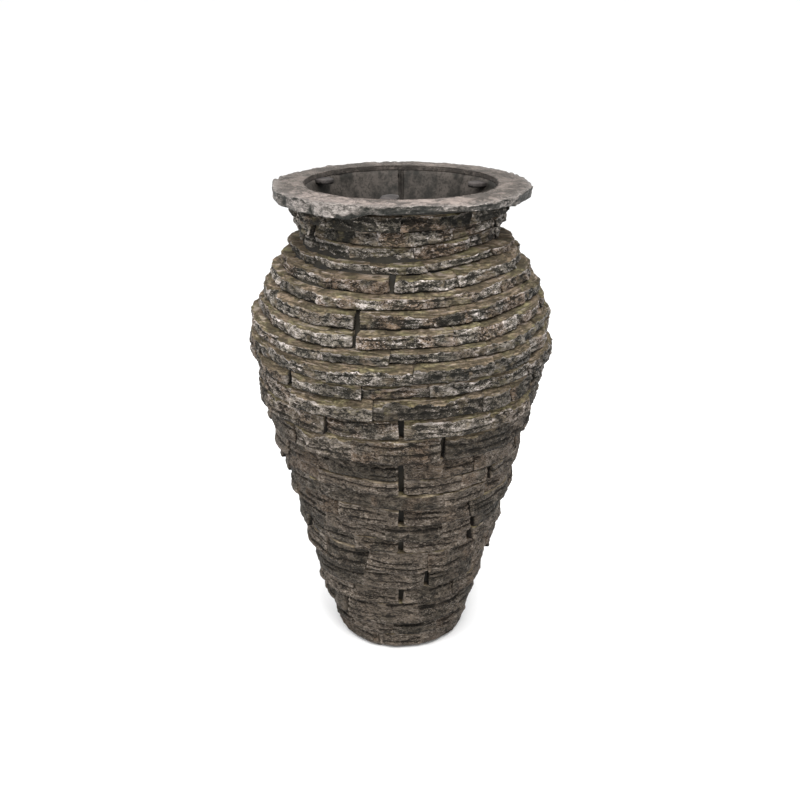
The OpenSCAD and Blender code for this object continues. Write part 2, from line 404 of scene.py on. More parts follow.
def lay_stone(facts, seed):
    """One stone's points and marks, as a section swept along its bearings, and its end caps."""
    draw = np.random.default_rng(seed)
    face = float(facts["radii"].mean())
    low, high = facts["low"] + BED_GAP, facts["high"] - BED_GAP
    thickness = high - low
    riven, ledge_share, ledge_in = stone_style((low + high) / 2, draw)
    along = stone_columns((facts["end"] - facts["start"]) * face)[:, None]
    columns, length = len(along), along[-1, 0]
    bearing = facts["start"] + along / face
    outline = np.interp(bearing, facts["turns"], facts["radii"])
    place = along / MM + seed * 13.1

    # the split face, from the bottom arris up to the ragged edge of the ledge
    ragged = sum(share * smooth_noise(place[..., None] / span, seed + k)
                 for share, span, k in ((0.50, 37, 1), (0.25, 12, 2), (0.16, 4.5, 3)))
    edge = low + thickness * np.clip(1 - ledge_share * (1 + ragged), 0.5, 0.97)
    faces = max(6, round(thickness * (1 - ledge_share) / RISE_STEP))
    rise = np.linspace(0, 1, faces + 1)[None, :]
    up = (edge - low) * rise
    out, hollow = split_face(np.broadcast_to(place * MM, up.shape), up, thickness, seed, riven, draw)
    arris = draw.uniform(0.0008, 0.0024)
    proud = riven * draw.uniform(-0.0030, 0.0020)
    lean = draw.uniform(-0.0038, 0.0020)
    reach = draw.uniform(0.0014, 0.0050, 2)
    to_end = length - along
    corner = (facts["start_drop"] * np.exp(-along / reach[0])
              + facts["end_drop"] * np.exp(-to_end / reach[1]))
    face_z = low + up
    depth, dropped = drop_out(bearing, face, face_z)
    face_r = outline + proud + out + lean * (rise - 0.5) - arris * np.exp(-up / ARRIS_REACH) - corner
    face_r = face_r - FOOT_CHAMFER * np.clip(1 - face_z / FOOT_CHAMFER, 0, 1) ** 1.6 - depth
    to_top = edge - face_z
    hollow = face_hollows(hollow + facts["dim"], dropped, up, to_top, np.minimum(along, to_end), place,
                          seed, riven)

    # the worn ledge above it
    slopes = max(2, round(math.hypot(ledge_in, thickness * ledge_share) / GRAIN_STEP))
    ledge_r, ledge_z, top = worn_ledge(face_r[:, -1:], outline, edge, high, ledge_in, slopes, place,
                                       seed, draw)

    # the beds, at shares of the stone's depth, and its back
    back = np.full((columns, 1), facts["back"] + BACK_GAP)
    face_r = np.maximum(face_r, back + LEAST_DEPTH)
    ledge_r = np.maximum(ledge_r, back + LEAST_DEPTH / 2)
    under_in = np.array([0.80, 0.45, 0.20, 0.06])[None, :]
    bed_in = np.array([0.08, 0.20, 0.38, 0.60, 0.84])[None, :]
    under_r = face_r[:, :1] + (back - face_r[:, :1]) * under_in
    bed_r = ledge_r[:, -1:] + (back - ledge_r[:, -1:]) * bed_in
    radius = np.concatenate([back, under_r, face_r, ledge_r, bed_r, back], axis=1)
    under_z = np.full((columns, under_in.shape[1] + 1), low)
    bed_z = np.repeat(top, bed_in.shape[1] + 1, axis=1)
    height = np.concatenate([under_z, face_z, ledge_z, bed_z], axis=1)
    height = np.clip(height, facts["low"] + INSIDE_BED, facts["high"] - INSIDE_BED)

    # its ends, slanted and a little crooked
    rows = radius.shape[1]
    rise_all = ((height - low) / thickness - 0.5) * 2
    turned = bearing
    for side, distance in (("start", along), ("end", to_end)):
        wander = JOINT_WANDER * smooth_noise(height[..., None] / 0.006 + facts[side + "_wander"], 7)
        slant = facts[side + "_slant"] * rise_all + wander / face
        turned = turned + slant * np.exp(-distance / JOINT_REACH)
    points = on_ring(radius, turned, height + bed_warp(turned, height)).reshape(-1, 3)

    # the four marks of each point: tone, tint, ledge and hollow; hollow becomes a painted highlight where
    # the face stands proud and painted shade in its hollows and grooves, and the underside and back are
    # marked fully hollow as painted shade
    mark = np.empty((columns, rows, 4))
    mark[..., 0], mark[..., 1] = draw.uniform(0, 1, 2)
    first_face = 1 + under_in.shape[1]
    first_ledge = first_face + faces + 1
    # on low, flush stones a thin line along the face's top arris is marked as ledge, so the ledge growth
    # colours paint a highlight there
    arris_light_and_growth = np.clip(1.0 + 0.8 * smooth_noise(place[..., None] / 21, seed + 9), 0, 1) * (1 - riven)
    mark[:, :first_face, 2:] = (0, 1)
    mark[:, first_face:first_ledge, 2] = arris_light_and_growth * np.exp(-to_top / 0.0020)
    mark[:, first_face:first_ledge, 3] = hollow
    mark[:, first_ledge:, 2] = 1
    mark[:, first_ledge:first_ledge + slopes, 3] = 0.35
    mark[:, first_ledge + slopes:, 3] = 0.6
    mark = mark.reshape(-1, 4)
    return (with_ends(points, rows), np.concatenate([mark, mark[[0, 0]]]),
            swept_quads(columns, rows, False), end_caps(columns, rows))


def lay_course(node, number):
    """All the stones of one course as one piece."""
    stones = [stone_facts(corners) for corners in islands(node)]
    close_joints(stones, number)
    course_r = np.mean([facts["radii"].mean() for facts in stones])
    laid, first_point = [], 0
    for k, facts in enumerate(stones):
        # painted shade on the top course, under the rim
        facts["dim"] = NECK_PAINTED_SHADE if node == COURSES[-1] else 0.0
        if node == COURSES[0]:
            facts["radii"] = course_r + FOOT_UNEVEN * (facts["radii"] - course_r)
        points, marks, quads, triangles = lay_stone(facts, number * 100 + k)
        laid.append((points, quads + first_point, triangles + first_point, marks))
        first_point += len(points)
    return build_mesh("stones_" + node[-2:], *(np.concatenate(arrays) for arrays in zip(*laid)))


# ---------------------------------------------------------------- rim

def cad_outline(node, radius_over):
    """A CAD node's outer outline: bearings and radii of its corners past a radius."""
    corners = np.array([v.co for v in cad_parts[node].data.vertices])
    radius = np.hypot(corners[:, 0], corners[:, 1])
    outer = corners[radius > radius_over]
    turn = bearing_of(outer)
    order = np.argsort(turn)
    return turn[order], np.hypot(outer[:, 0], outer[:, 1])[order]


MOUTH_R = 0.155
LIP_R = 0.1653           # outside of the liner's lip, which the rim's rebate sits over
REBATE_R = LIP_R + 0.0006
RIM_EDGE_R = 0.19        # corners of the CAD rim past this radius are its outer edge
RIM_ROUND_MM = 207       # mean radius of that edge, for distances round it in millimetres
RIM_COLUMNS = 860
# How thick the rim's edge was left, in millimetres, at bearings in degrees round from the front
RIM_EDGE_AT = [-180, -80, -62, -22, -12, 20, 28, 44, 60, 110, 180]
RIM_EDGE_MM = [20, 20, 24, 25, 14, 11, 15, 17, 21, 20, 20]
# How far the outer part of its top was knocked down there
RIM_TOP_AT = [-180, -110, -70, -40, -10, 18, 30, 48, 70, 120, 180]
RIM_TOP_MM = [1.5, 3.0, 3.5, 1.5, 0.5, 1.0, 4.5, 5.0, 3.0, 2.0, 1.5]


def rim_slab():
    """The rim: smooth worn top, rock-faced outer edge, square mouth, rebated underside."""
    thick = URN_TOP - RIM_LOW
    turns, radii = cad_outline("rim_slab", RIM_EDGE_R)
    bearing = np.linspace(-math.pi, math.pi, RIM_COLUMNS, endpoint=False)[:, None]
    degrees = np.degrees(bearing)
    outline = np.interp(bearing, turns, radii, period=TAU)
    along_edge = np.stack([bearing * RIM_ROUND_MM / 26, bearing * 0 + 0.5], axis=-1)
    edge_thick = (np.interp(degrees, RIM_EDGE_AT, RIM_EDGE_MM) + 1.6 * smooth_noise(along_edge, 911)) * MM
    knocked = np.interp(degrees, RIM_TOP_AT, RIM_TOP_MM) * MM
    foot = URN_TOP - edge_thick
    faces, tops, unders, mouths = 14, 26, 12, 6

    # the section, from the rebate outwards under the slab, up the edge, in over the top and down
    under = np.linspace(0, 1, unders)[None, :]
    under_r = REBATE_R + (outline - REBATE_R) * under
    under_z = RIM_LOW + (foot - RIM_LOW) * soft_step(under, 0.30, 0.97)
    rise = np.linspace(0, 1, faces + 1)[None, 1:]
    face_r = np.repeat(outline, faces, axis=1)
    face_z = foot + (URN_TOP - foot) * rise
    inward = np.linspace(0, 1, tops + 1)[None, 1:] ** 1.15
    top_r = outline + (MOUTH_R - outline) * inward
    inner_z = np.linspace(URN_TOP, URN_TOP - thick / 2, mouths + 1)[None, 1:]
    column = np.ones((RIM_COLUMNS, 1))
    radius = np.concatenate([REBATE_R * column, under_r, face_r, top_r,
                             MOUTH_R * np.ones((RIM_COLUMNS, mouths))], axis=1)
    height = np.concatenate([(RIM_LOW + thick / 2) * column, under_z, face_z,
                             URN_TOP * np.ones((RIM_COLUMNS, tops)), inner_z * column], axis=1)
    rows = radius.shape[1]
    first_face, first_top = 1 + unders, 1 + unders + faces
    is_face = np.zeros(rows)
    is_face[first_face - 1:first_top] = 1
    on_top = np.zeros(rows)
    on_top[first_top - 1:first_top + tops] = 1
    is_under = np.zeros(rows)
    is_under[1:first_face] = 1

    # the broken edge, knapped boldest at the front left
    along = np.broadcast_to(bearing * RIM_ROUND_MM, radius.shape)
    spread = np.stack([along, height / MM], axis=-1)
    from_edge = np.abs(outline - radius)
    broken = np.exp(-from_edge / 0.006)
    big = scallops(spread / (23, 19) + 0.4, 901)
    small = scallops(spread / (9, 7), 902)
    struck = facets(spread / (19, 9), 903)
    fine = facets(spread / (6, 4), 909)
    left = soft_step(degrees, -66, -46) * (1 - soft_step(degrees, -22, -8))
    out = ((2.5 + 3.5 * left) * (0.32 - big) + 1.4 * (small - 0.35) + 1.4 * struck + 0.6 * fine) * MM
    lean = -0.0030 * np.clip((URN_TOP - height) / thick, 0, 1) * broken
    radius = radius + out * broken + lean

    # the worn top, chipped along its edge and cracked at the front of the mouth
    plan = np.stack([along, radius / MM], axis=-1)
    worn = 0.0014 * layered_noise(plan / (34, 13), 905, 3) + 0.0007 * layered_noise(plan / (9, 4), 906, 2)
    chip = soft_step(scallops(plan / (17, 9), 907) - from_edge / 0.011, 0.0, 0.5)
    mouth_in = np.abs(radius - MOUTH_R)
    fall = knocked * np.exp(-(from_edge / 0.017) ** 2) + 0.0032 * chip * np.exp(-from_edge / 0.008)
    crack = np.exp(-((along + 17 - 0.55 * (radius - MOUTH_R) / MM) / 1.3) ** 2)
    crack = crack * np.exp(-(mouth_in / 0.012) ** 2)
    height = height + on_top * (worn - 0.0016 - fall - 0.0013 * np.exp(-mouth_in / 0.0025) - 0.003 * crack)
    up_face = np.clip((height - foot) / (URN_TOP - foot), 0, 1)
    height = height - is_face * (1 - on_top) * fall[:, first_top - 1:first_top] * up_face
    mouth_side = mouth_in < 0.0005
    radius = radius + np.where(mouth_side, 0.0009 * smooth_noise(spread / 26, 908), 0)
    height = height + is_under * 0.0006 * big
    height = np.minimum(height, URN_TOP)

    # the four marks of each point: share of front, tint, top and hollow; hollow is painted highlight and
    # painted shade on the broken edge, painted shade under the slab and on the mouth's side, and dark in
    # the crack
    mark = np.empty(radius.shape + (4,))
    mark[..., 0] = soft_step(degrees, -75, -40) * (1 - soft_step(degrees, 30, 62))
    mark[..., 1] = 0.5
    mark[..., 2] = np.where(mouth_side, 1, on_top * (1 - np.exp(-from_edge / 0.006)))
    # painted light on the edge: painted shade low on its front middle and in the creases between the lobes,
    # painted highlight on the front left and at the front right
    shaded = soft_step(degrees, -24, -15) * (1 - soft_step(degrees, 8, 20))
    low_down = soft_step(URN_TOP - height, 0.004, 0.009)
    outlined = soft_step(big, 0.34, 0.52)
    lit = soft_step(degrees, 12, 20) * (1 - soft_step(degrees, 38, 46)) * (1 - low_down)
    hollow = (0.54 - 0.24 * left + 0.30 * shaded * low_down - 0.30 * lit - 0.3 * (small - 0.35)
              - 0.28 * struck - 0.22 * fine + (0.35 + 0.35 * left) * outlined)
    hollow = np.where(is_face > 0, np.clip(hollow, 0, 1), 0.35)
    hollow = np.where(is_under > 0, 0.95, hollow)
    hollow = np.where(mouth_side & (on_top < 1), 0.72, hollow)
    mark[..., 3] = np.maximum(hollow, crack * on_top)
    return build_mesh("rim_ring", on_ring(radius, bearing, height).reshape(-1, 3),
                      swept_quads(RIM_COLUMNS, rows, True), np.zeros((0, 3), int), mark.reshape(-1, 4))


# ---------------------------------------------------------------- liner, mortar, lugs

NECK_DEPTH = 0.13        # the throat lies within this depth of the top
SEAM_GAP = 0.002         # half the open angle left at the liner's seam, in radians
BED_CLEAR = 0.001        # how far the mortar stays clear of the liner, the rim and the ground
LUG_WORN = 0.0024        # how far a lug's edges are worn round
LUG_ROOT_GAP = 0.0012    # how far a lug's root stays clear of the back of its socket


def finer(profile, step):
    """A closed profile with points added so that none lie further apart than a step."""
    dense = []
    for k, (r, z) in enumerate(profile):
        next_r, next_z = profile[(k + 1) % len(profile)]
        parts = max(1, math.ceil(math.hypot(next_r - r, next_z - z) / step))
        dense += [(r + (next_r - r) * j / parts, z + (next_z - z) * j / parts) for j in range(parts)]
    return np.array(dense)


def lathe(name, profile, columns, seed, rough, start=0.0, sweep=TAU):
    """A closed section turned about the axis, a little uneven as cast or trowelled work is."""
    profile = finer(profile, 0.008)
    rows = len(profile)
    whole = sweep > TAU - 1e-6
    turn = np.linspace(0, 1, columns, endpoint=not whole)
    if not whole:
        turn = np.concatenate([[0.0, 0.003, 0.007], turn[1:-1], [0.993, 0.997, 1.0]])
        columns = len(turn)
    bearing = start + sweep * turn[:, None]
    radius = np.broadcast_to(profile[None, :, 0], (columns, rows))
    height = np.broadcast_to(profile[None, :, 1], (columns, rows))
    spread = on_ring(radius, bearing, height) * (1, -1, 1) / MM
    uneven = rough * (layered_noise(spread / 55, seed, 2) + 0.35 * layered_noise(spread / 11, seed + 1, 2))
    mark = np.full((columns, rows, 4), 0.5)
    if not whole:
        from_seam = np.minimum(turn, 1 - turn)[:, None] * sweep * radius
        wide = 1 + 0.6 * smooth_noise(spread[..., 2:] / 31, seed + 2)
        seam = np.exp(-(from_seam / (0.0012 * wide)) ** 2)
        uneven = uneven + 0.0014 * seam
        mark[..., 3] = seam
    points = on_ring(radius + uneven, bearing, height)
    triangles = np.zeros((0, 3), int)
    if not whole:
        section = np.array(tessellate_polygon([[Vector((r, z, 0)) for r, z in profile]]))
        triangles = np.concatenate([section, section + (columns - 1) * rows])
    piece = build_mesh(name, points.reshape(-1, 3), swept_quads(columns, rows, whole), triangles,
                       mark.reshape(-1, 4))
    face_outwards(piece)
    return piece


def wall_profile(node):
    """The section of a turned CAD wall: up its outside, and down its inside from a flared mouth."""
    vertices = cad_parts[node].data.vertices
    corners = np.array([v.co for v in vertices])
    radius = np.hypot(corners[:, 0], corners[:, 1])
    facing = np.sum(corners[:, :2] * np.array([v.normal for v in vertices])[:, :2], axis=1) / radius
    level = np.round(corners[:, 2], 4)
    skins = []
    for skin in (facing > 0.4, facing < -0.4):
        levels = np.unique(level[skin])
        skins.append(np.array([(radius[skin & (level == z)].mean(), z) for z in levels]))
    outside, inside = skins
    neck = inside[inside[:, 1] > URN_TOP - NECK_DEPTH]
    throat = neck[np.argmin(neck[:, 0])]
    below_throat = inside[inside[:, 1] <= throat[1]]
    mouth = [(MOUTH_R, outside[-1, 1])]
    return np.concatenate([outside, mouth, below_throat[::-1]])


def mortar_core():
    """The bedding mortar behind the stones, well back from their faces."""
    courses = []
    for node in COURSES:
        facts = [stone_facts(corners) for corners in islands(node)]
        face = float(np.mean([one["radii"].mean() for one in facts]))
        back = max(one["back"] for one in facts)
        middle = (facts[0]["low"] + facts[0]["high"]) / 2
        courses.append((max(face - MORTAR_IN, back + BED_CLEAR), middle))
    outside = [(courses[0][0], BED_CLEAR), *courses, (courses[-1][0], RIM_LOW - BED_CLEAR)]
    inside = [(r - MORTAR_WALL, z) for r, z in reversed(outside)]
    return lathe("mortar_core", outside + inside, 200, 71, 0.0012)


def tongue(name, node, seed):
    """A lug: a flat tongue of stone with a round end and worn edges, on its CAD node's place."""
    corners = np.array([v.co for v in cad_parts[node].data.vertices])
    middle = bearing_of(corners.mean(axis=0, keepdims=True))[0]
    across_way = np.array([math.cos(middle), math.sin(middle)])
    out_way = np.array([math.sin(middle), -math.cos(middle)])
    across = corners[:, :2] @ across_way
    outward = corners[:, :2] @ out_way
    half, tip, root = across.max(), outward.min(), outward.max() - LUG_ROOT_GAP
    low, high = corners[:, 2].min(), corners[:, 2].max()

    # its side, from the middle of the underside round both worn edges to the middle of the top
    turn = np.linspace(0, math.pi / 2, 5)
    rising, rounding = LUG_WORN * (1 - np.cos(turn)), LUG_WORN * (1 - np.sin(turn))
    inset = np.concatenate([[half, half * 0.7], rounding, rising, [half * 0.7, half]])
    level = np.concatenate([[0, 0], rising, high - low - rounding, [high - low, high - low]])
    angle = np.linspace(-math.pi / 2, math.pi / 2, 41)
    rings = []
    for step, z in zip(inset, level):
        arc_across = (half - step) * np.sin(angle)
        arc_out = tip + half - (half - step) * np.cos(angle)
        rings.append(np.stack([np.concatenate([[arc_across[0]], arc_across, [arc_across[-1]]]),
                               np.concatenate([[root], arc_out, [root]]),
                               np.full(len(angle) + 2, low + z)], axis=-1))
    ring = np.stack(rings, axis=1)
    columns, rows = ring.shape[:2]
    ring = ring + 0.0006 * np.stack([smooth_noise(ring / MM / 9, seed + k) for k in range(3)], axis=-1)
    flat = ring[..., :1] * across_way + ring[..., 1:2] * out_way
    points = np.concatenate([flat, np.clip(ring[..., 2:], low, high)], axis=-1).reshape(-1, 3)
    mark = np.full((columns * rows + 2, 4), 0.5)
    # painted shade: the lug's underside is marked to be black
    mark[:-2, 3] = np.where(ring[..., 2] < low + LUG_WORN, 1.0, 0.3).ravel()
    quads = swept_quads(columns, rows, False)
    outer = np.arange(len(quads)) % rows < rows - 1
    piece = build_mesh(name, with_ends(points, rows), quads[outer], end_caps(columns, rows), mark)
    face_outwards(piece)
    return piece


# ---------------------------------------------------------------- materials

def add(tree, kind, inputs=None, **settings):
    """A new node. inputs maps socket names or numbers to values or to sockets to join."""
    made = tree.nodes.new(kind)
    for key, value in settings.items():
        setattr(made, key, value)
    for key, value in (inputs or {}).items():
        if isinstance(value, bpy.types.NodeSocket):
            tree.links.new(value, made.inputs[key])
        else:
            made.inputs[key].default_value = value
    return made


def maths(tree, operation, a, b=0.0, c=0.0):
    return add(tree, "ShaderNodeMath", {0: a, 1: b, 2: c}, operation=operation).outputs[0]


def remap(tree, value, low, high, to_low=0.0, to_high=1.0):
    """A value's smooth way from low to high, as one from to_low to to_high."""
    node = add(tree, "ShaderNodeMapRange", {"Value": value, "From Min": low, "From Max": high,
                                            "To Min": to_low, "To Max": to_high},
               interpolation_type="SMOOTHSTEP")
    return node.outputs["Result"]


def blend(tree, share, first, second):
    """One colour turning into another; each is a socket, or red, green and blue."""
    first, second = (one if isinstance(one, bpy.types.NodeSocket) else (*one, 1) for one in (first, second))
    return add(tree, "ShaderNodeMix", {0: share, 6: first, 7: second}, data_type="RGBA").outputs[2]


def laid_over(tree, colour, layers):
    """A colour with others laid over it in turn, each as thick as its share."""
    for share, layer in layers:
        colour = blend(tree, share, colour, layer)
    return colour


def mix_value(tree, share, first, second):
    return add(tree, "ShaderNodeMix", {0: share, 2: first, 3: second}).outputs[0]


def noise(tree, place, scale, detail=3.0, rough=0.55, distortion=0.0):
    node = add(tree, "ShaderNodeTexNoise", {"Vector": place, "Scale": scale, "Detail": detail,
                                            "Roughness": rough, "Distortion": distortion})
    return node.outputs["Fac"]


def stretched(tree, place, scale, turn=(0.0, 0.0, 0.0)):
    node = add(tree, "ShaderNodeMapping", {"Vector": place, "Rotation": turn, "Scale": scale})
    return node.outputs["Vector"]


def object_place(tree):
    return add(tree, "ShaderNodeTexCoord").outputs["Object"]


def height_of(tree, vector):
    return add(tree, "ShaderNodeSeparateXYZ", {0: vector}).outputs["Z"]


def new_group(name, inputs, outputs):
    """An empty shader group with its named sockets; returns it with its two end nodes."""
    group = bpy.data.node_groups.new(name, "ShaderNodeTree")
    for socket, kind, value in inputs:
        made = group.interface.new_socket(socket, in_out="INPUT", socket_type=kind)
        if value is not None:
            made.default_value = value
    for socket, kind in outputs:
        group.interface.new_socket(socket, in_out="OUTPUT", socket_type=kind)
    start = group.nodes.new("NodeGroupInput")
    end = group.nodes.new("NodeGroupOutput")
    return group, start, end


def use_group(tree, group, inputs):
    return add(tree, "ShaderNodeGroup", inputs, node_tree=group).outputs


def slate_grain_group():
    """Slate grain: fine flecks, streaks along the beds, the edges and roots of thin chips, relief. The
    materials use the flecks as grain and as painted glints, the chip edges as painted highlight lines and
    the chip roots as painted shade lines.
    """
    group, start, end = new_group(
        "slate_grain",
        [("Place", "NodeSocketVector", None), ("Fleck Scale", "NodeSocketFloat", 260.0),
         ("Streak Scale", "NodeSocketFloat", 30.0), ("Chip Scale", "NodeSocketFloat", 90.0)],
        [(name, "NodeSocketFloat") for name in ("Fleck", "Streak", "Chip Edge", "Chip Root", "Relief")])
    place = start.outputs["Place"]
    across_beds = stretched(group, place, (1.0, 1.0, 2.3))
    fleck = noise(group, across_beds, start.outputs["Fleck Scale"], 2.0, 0.6, 0.9)
    along_beds = stretched(group, place, (1.0, 1.0, 7.0))
    streak = noise(group, along_beds, start.outputs["Streak Scale"], 4.0, 0.6, 0.6)
    slant = stretched(group, place, (0.55, 1.0, 1.5), (0.3, 0.45, 0.2))
    chips = noise(group, slant, start.outputs["Chip Scale"], 3.0, 0.65, 1.4)
    edge = remap(group, maths(group, "ABSOLUTE", maths(group, "SUBTRACT", chips, 0.52)), 0.035, 0.0)
    root = remap(group, maths(group, "ABSOLUTE", maths(group, "SUBTRACT", chips, 0.44)), 0.040, 0.0)
    relief = maths(group, "ADD", maths(group, "MULTIPLY", streak, 0.45),
                   maths(group, "MULTIPLY", edge, 0.40))
    relief = maths(group, "MULTIPLY_ADD", root, -0.45, relief)
    relief = maths(group, "MULTIPLY_ADD", fleck, 0.55, relief)
    for name, value in (("Fleck", fleck), ("Streak", streak), ("Chip Edge", edge), ("Chip Root", root),
                        ("Relief", relief)):
        group.links.new(value, end.inputs[name])
    return group


def growth_group():
    """Olive algae and tan dust that gather on ledges, streaked along the beds: a mask and a colour. Where
    the ledge mark runs along a low stone's top arris, it paints a highlight line.
    """
    group, start, end = new_group(
        "ledge_growth",
        [("Place", "NodeSocketVector", None), ("Ledge", "NodeSocketFloat", 0.0),
         ("Up", "NodeSocketFloat", 0.0), ("Streak", "NodeSocketFloat", 0.5),
         ("Amount", "NodeSocketFloat", 0.5), ("Olive", "NodeSocketColor", None),
         ("Tan", "NodeSocketColor", None), ("Shade", "NodeSocketColor", None),
         ("Line", "NodeSocketColor", None)],
        [("Mask", "NodeSocketFloat"), ("Color", "NodeSocketColor")])
    place = start.outputs["Place"]
    patch = noise(group, place, 26.0, 3.0, 0.55)
    speck = noise(group, place, 210.0, 2.0, 0.6)
    lying = maths(group, "MAXIMUM", start.outputs["Ledge"],
                  remap(group, start.outputs["Up"], 0.45, 0.95, 0.0, 0.5))
    ragged = maths(group, "MULTIPLY_ADD", patch, 0.9, maths(group, "MULTIPLY", speck, 0.35))
    level = maths(group, "MULTIPLY_ADD", start.outputs["Amount"], 0.6, lying)
    mask = remap(group, maths(group, "ADD", maths(group, "SUBTRACT", level, 1.55), ragged), 0.0, 0.30)
    tint = remap(group, noise(group, stretched(group, place, (1.0, 1.0, 2.5)), 21.0, 3.0, 0.6), 0.36, 0.56)
    lines = noise(group, stretched(group, place, (1.0, 1.0, 24.0)), 22.0, 3.0, 0.6, 0.3)
    shade = start.outputs["Shade"]
    color = laid_over(group, blend(group, tint, start.outputs["Olive"], start.outputs["Tan"]), [
        (remap(group, start.outputs["Streak"], 0.60, 0.40, 0.0, 0.85), shade),
        (remap(group, speck, 0.52, 0.66, 0.0, 0.55), shade),
        (remap(group, lines, 0.50, 0.60, 0.0, 0.75), shade),
        (remap(group, lines, 0.43, 0.35, 0.0, 0.65), start.outputs["Line"])])
    group.links.new(mask, end.inputs["Mask"])
    group.links.new(color, end.inputs["Color"])
    return group


SLATE_GRAIN = slate_grain_group()
LEDGE_GROWTH = growth_group()


def new_material(name):
    material = bpy.data.materials.new(name)
    material.use_nodes = True
    tree = material.node_tree
    return material, tree, tree.nodes["Principled BSDF"]


def lay_marks(tree):
    """The four marks that each point carries: tone or front, tint, ledge or top, and hollow, which sets
    painted highlight and painted shade, the liner's black seam and the dark crack in the rim's top.
    """
    node = add(tree, "ShaderNodeAttribute", attribute_name="lay")
    split = add(tree, "ShaderNodeSeparateColor", {"Color": node.outputs["Color"]})
    return [*split.outputs[:3], node.outputs["Alpha"]]


def proud_and_sunk(tree, hollow, grain, proud_share, edge_share, sunk_share):
    """How proud and how sunk a spot is, from its hollow and from the grain's flecks and chips: the shares
    of painted highlight and of painted shade there.
    """
    fleck = grain["Fleck"]
    proud = maths(tree, "MULTIPLY_ADD", maths(tree, "SUBTRACT", 0.5, hollow), proud_share, fleck)
    proud = maths(tree, "MULTIPLY_ADD", grain["Chip Edge"], edge_share, proud)
    sunk = maths(tree, "MULTIPLY_ADD", maths(tree, "SUBTRACT", hollow, 0.5), sunk_share,
                 maths(tree, "SUBTRACT", 1.0, fleck))
    sunk = maths(tree, "MULTIPLY_ADD", grain["Chip Root"], 0.26, sunk)
    return proud, sunk


def join_shader(tree, shader, colour, gloss, height, depth, strength, specular):
    """Joins a material's colour, roughness and relief to its shader."""
    bump = add(tree, "ShaderNodeBump", {"Height": height, "Strength": strength, "Distance": depth})
    tree.links.new(colour, shader.inputs["Base Color"])
    tree.links.new(gloss, shader.inputs["Roughness"])
    tree.links.new(bump.outputs["Normal"], shader.inputs["Normal"])
    shader.inputs["Specular IOR Level"].default_value = specular


# The slate's colours: brown, quiet and darker low down, partly its own browner tone and partly painted
# shade where the body turns down away from the light; grey and mossy high up, with brighter painted glints
SLATE_COLOURS = {
    # Black is painted shade in sunk spots; Pale is the painted highlight on proud spots, flecks and chip
    # edges, and also tints the pale lines in the ledge growth
    "Black": ((0.004, 0.003, 0.002), (0.006, 0.006, 0.004)),
    "Dark": ((0.036, 0.028, 0.018), (0.058, 0.051, 0.038)),
    "Middle": ((0.098, 0.076, 0.056), (0.180, 0.157, 0.124)),
    "Pale": ((0.460, 0.390, 0.325), (0.800, 0.715, 0.670)),
    "Brown": ((0.084, 0.057, 0.036), (0.165, 0.115, 0.076)),
    "Olive": ((0.300, 0.255, 0.130), (0.212, 0.186, 0.098)),
    "Tan": ((0.310, 0.248, 0.172), (0.226, 0.168, 0.115)),
    "Shade": ((0.070, 0.051, 0.030), (0.060, 0.047, 0.027))}


def slate_tones_group():
    """The slate's colours at a height, and how high that is: 0 low down and 1 on the shoulder."""
    group, start, end = new_group(
        "slate_tones", [("Place", "NodeSocketVector", None), ("Tone", "NodeSocketFloat", 0.5)],
        [(name, "NodeSocketColor") for name in SLATE_COLOURS] + [("High", "NodeSocketFloat")])
    place = start.outputs["Place"]
    cloud = maths(group, "MULTIPLY_ADD", noise(group, place, 9.0, 2.0, 0.5), 0.16,
                  maths(group, "MULTIPLY", start.outputs["Tone"], 0.07))
    high = remap(group, maths(group, "ADD", height_of(group, place), cloud), 0.50, 0.70)
    for name, (low_colour, high_colour) in SLATE_COLOURS.items():
        group.links.new(blend(group, high, low_colour, high_colour), end.inputs[name])
    group.links.new(high, end.inputs["High"])
    return group


SLATE_TONES = slate_tones_group()


